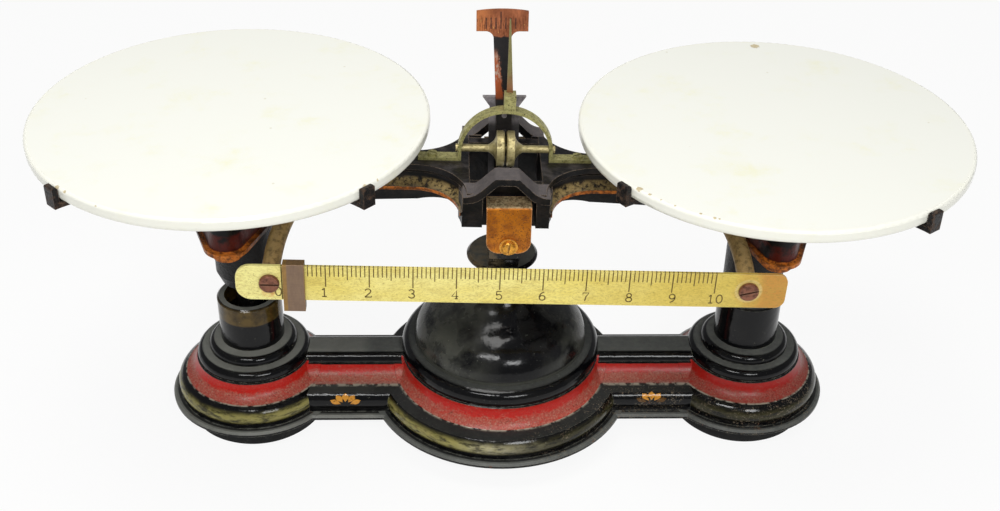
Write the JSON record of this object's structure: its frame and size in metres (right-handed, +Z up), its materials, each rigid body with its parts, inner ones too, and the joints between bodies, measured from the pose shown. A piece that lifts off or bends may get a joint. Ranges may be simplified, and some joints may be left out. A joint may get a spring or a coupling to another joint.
{
  "type": "trip balance",
  "caption": "Two-pan trip balance with round plates, a tilting beam, a graduated bar with a poise, a pointer and a moulded iron base.",
  "frame": {"origin": "on the surface that the balance stands on, under the middle of the base", "axes": "+X along the beam towards the right plate, +Y to the rear, away from the graduated bar, +Z up"},
  "size_m": [0.3624, 0.1524, 0.1832],
  "materials": {
    "japanned_iron": "black japan, worn",
    "bare_iron": "bare, dull",
    "pad_rubber": "matt black",
    "hardened_steel": "ground",
    "plain_steel": "dulled",
    "coppered_sheet": "copper orange, worn",
    "bright_brass": "turned",
    "grey_sheet": "grey sheet",
    "index_brass": "copper red, part painted black",
    "aged_brass": "greenish, aged",
    "bar_brass": "lacquered yellow brass",
    "bronzed_steel": "red-brown",
    "dull_bronze": "tan-grey, aged",
    "poise_brass": "brown brass with worn edges",
    "milk_glass": "ivory white glaze"
  },
  "bodies": {
    "base": {"foot_pad_left": "pad_rubber", "foot_pad_right": "pad_rubber", "base_casting": "japanned_iron", "stay_pin": "plain_steel", "pillar": "japanned_iron", "pillar_screws": "plain_steel", "main_bearings": "hardened_steel", "knife_guard_front": "coppered_sheet", "knife_guard_rear": "coppered_sheet", "guard_washers": "bright_brass", "guard_screws": "bright_brass", "index_support": "grey_sheet", "support_screw": "plain_steel", "index_plate": "index_brass", "index_rivets": "bright_brass"},
    "beam": {"beam_casting": "japanned_iron", "main_knife_edge": "hardened_steel", "end_knife_edges_left": "hardened_steel", "end_knife_edges_right": "hardened_steel", "arch_bridge": "aged_brass", "arch_screws": "plain_steel", "balance_rod": "aged_brass", "pointer_block": "aged_brass", "pointer": "aged_brass", "scale_bar": "bar_brass", "bar_screws": "bronzed_steel", "bar_bracket_left": "dull_bronze", "bar_bracket_right": "dull_bronze", "bracket_screws_left": "plain_steel", "bracket_screws_right": "plain_steel"},
    "balance_nut_left": {"balance_nut_left": "aged_brass"},
    "balance_nut_right": {"balance_nut_right": "aged_brass"},
    "poise": {"poise": "poise_brass"},
    "carrier_left": {"pan_carrier_left": "japanned_iron", "carrier_bearings_left": "hardened_steel", "carrier_stem_left": "japanned_iron", "stem_pin_left": "plain_steel"},
    "plate_left": {"plate_left": "milk_glass"},
    "carrier_right": {"pan_carrier_right": "japanned_iron", "carrier_bearings_right": "hardened_steel", "carrier_stem_right": "japanned_iron", "stem_pin_right": "plain_steel"},
    "plate_right": {"plate_right": "milk_glass"},
    "stay": {"stay_lever": "bare_iron"}
  },
  "joints": [
    {"name": "beam_tilt", "type": "hinge", "parent": "base", "child": "beam", "pos_m": [0, 0, 0.112], "axis": [0, 1, 0], "range_deg": [-4.32, 1.68]},
    {"name": "carrier_left_pivot", "type": "hinge", "parent": "beam", "child": "carrier_left", "pos_m": [-0.10497, 0, 0.11442], "axis": [0, 1, 0], "range_deg": [-1.68, 4.32]},
    {"name": "carrier_right_pivot", "type": "hinge", "parent": "beam", "child": "carrier_right", "pos_m": [0.10497, 0, 0.10958], "axis": [0, 1, 0], "range_deg": [-1.68, 4.32]},
    {"name": "stay_tilt", "type": "hinge", "parent": "base", "child": "stay", "pos_m": [0, 0, 0.0205], "axis": [0, 1, 0], "range_deg": [-4.32, 1.68]},
    {"name": "nut_left_travel", "type": "slide", "parent": "beam", "child": "balance_nut_left", "axis": [0.9997, 0, -0.023], "range_m": [-0.007, 0.0003]},
    {"name": "nut_right_travel", "type": "slide", "parent": "beam", "child": "balance_nut_right", "axis": [0.9997, 0, -0.023], "range_m": [-0.0003, 0.007]},
    {"name": "poise_travel", "type": "slide", "parent": "beam", "child": "poise", "axis": [0.9997, 0, -0.023], "range_m": [-0.0011, 0.1589]},
    {"name": "plate_left_lift", "type": "slide", "parent": "carrier_left", "child": "plate_left", "axis": [0, 0, 1], "range_m": [0, 0.03]},
    {"name": "plate_right_lift", "type": "slide", "parent": "carrier_right", "child": "plate_right", "axis": [0, 0, 1], "range_m": [0, 0.03]}
  ],
  "couplings": [
    {"joint": "carrier_left_pivot", "follows": "beam_tilt", "ratio": -1},
    {"joint": "carrier_right_pivot", "follows": "beam_tilt", "ratio": -1},
    {"joint": "stay_tilt", "follows": "beam_tilt", "ratio": 1}
  ]
}
